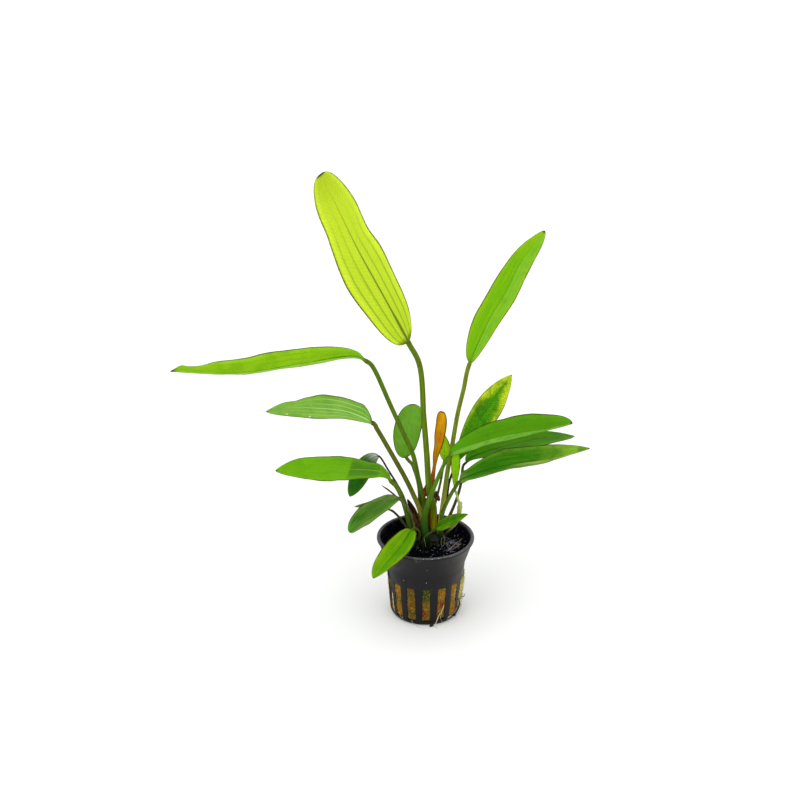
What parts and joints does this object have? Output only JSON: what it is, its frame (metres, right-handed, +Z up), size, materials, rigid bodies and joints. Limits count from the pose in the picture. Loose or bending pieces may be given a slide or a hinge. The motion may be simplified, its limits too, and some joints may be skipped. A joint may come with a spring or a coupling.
{
  "type": "potted amazon sword plant",
  "caption": "Aquarium sword plant with pointed ribbed leaves on long arching stalks, rooted in a mineral-wool plug inside a slotted black nursery pot.",
  "frame": {"origin": "centre of the pot's base, on the surface it stands on", "axes": "+Z up from the base; +X to the right and +Y away from the viewer, with the tall pale leaf leaning towards the viewer's left"},
  "size_m": [0.24, 0.1381, 0.2856],
  "materials": {
    "black_plastic": "satin",
    "mineral_wool": "matte",
    "root": "matte",
    "leaf_yellow_green": "satin",
    "leaf_bright_green": "satin",
    "leaf_mid_green": "satin",
    "leaf_dark_green": "satin",
    "leaf_withered": "matte",
    "dead_tissue": "matte"
  },
  "bodies": {
    "root": {"pot": "black_plastic", "rockwool_plug": "mineral_wool", "rootstock": "root", "leaf_tall_pale": "leaf_yellow_green", "leaf_tall_right": "leaf_bright_green", "leaf_long_left": "leaf_bright_green", "leaf_arched_left": "leaf_bright_green", "leaf_flat_left": "leaf_mid_green", "leaf_hanging_left": "leaf_dark_green", "leaf_low_left": "leaf_dark_green", "leaf_tucked_left": "leaf_dark_green", "leaf_front_pale": "leaf_bright_green", "leaf_front_small": "leaf_mid_green", "leaf_round_back": "leaf_bright_green", "leaf_withered": "leaf_withered", "leaf_small_back": "leaf_bright_green", "leaf_upper_right": "leaf_mid_green", "leaf_middle_right": "leaf_mid_green", "leaf_lower_right": "leaf_mid_green", "leaf_mottled_back": "leaf_mid_green", "leaf_young_narrow": "leaf_bright_green", "stalk_dead": "dead_tissue", "sheath_brown": "dead_tissue"}
  },
  "joints": []
}
